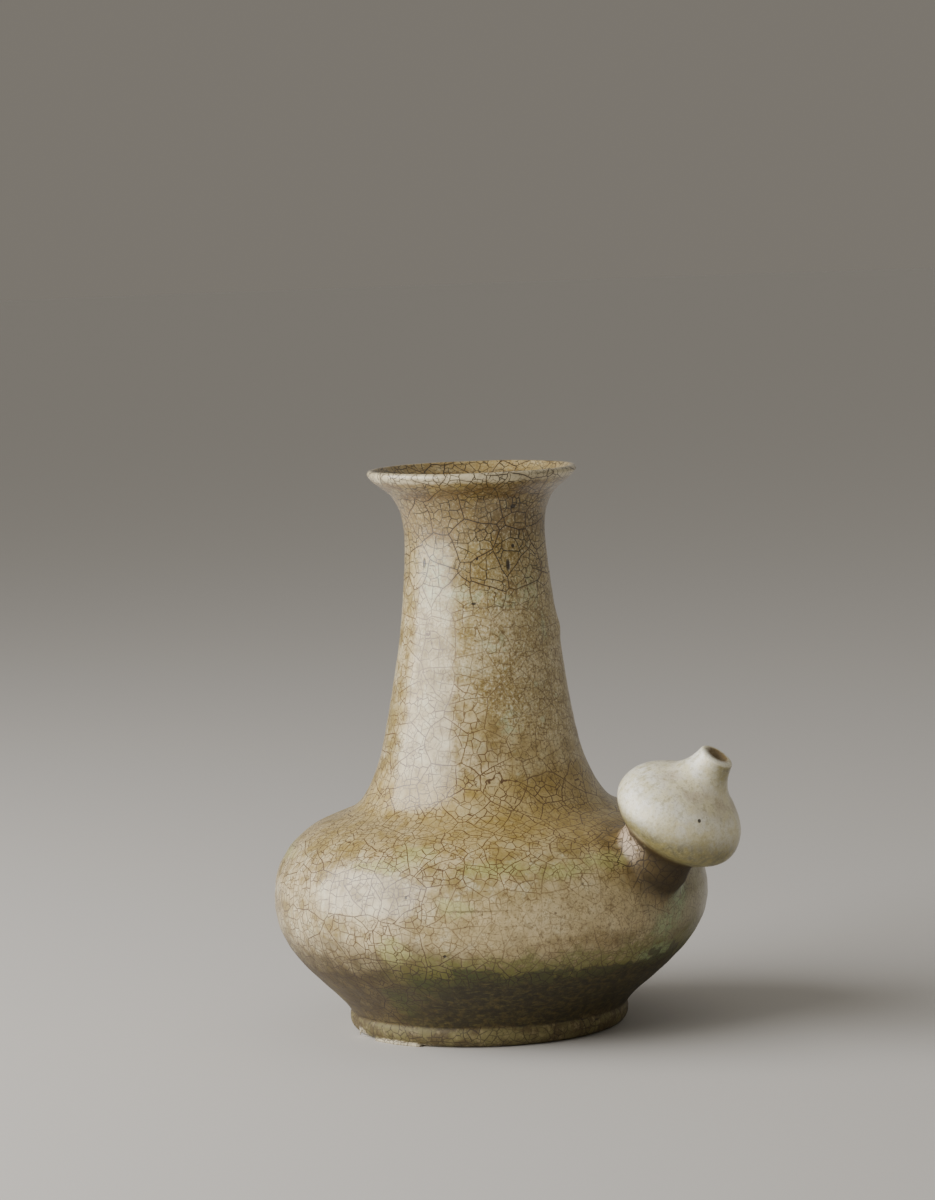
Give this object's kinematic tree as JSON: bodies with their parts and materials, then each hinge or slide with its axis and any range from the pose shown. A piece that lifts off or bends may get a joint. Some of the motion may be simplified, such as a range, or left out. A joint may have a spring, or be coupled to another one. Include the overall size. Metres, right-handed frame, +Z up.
{
  "type": "celadon ewer",
  "caption": "Squat round stoneware pouring vessel with a tall flared neck, a low foot and a bulbous spout on the shoulder, under a crackled celadon glaze; no handle.",
  "frame": {"origin": "middle of the flat base, on the surface the ewer stands on", "axes": "+Z up along the axis of the foot, +X towards the side where the spout is luted to the shoulder"},
  "size_m": [0.1808, 0.1555, 0.2],
  "materials": {
    "celadon_glaze": "thin glossy celadon glaze over stoneware, cream to olive tan, with a brown-stained crackle"
  },
  "bodies": {
    "root": {"ewer": "celadon_glaze"}
  },
  "joints": []
}
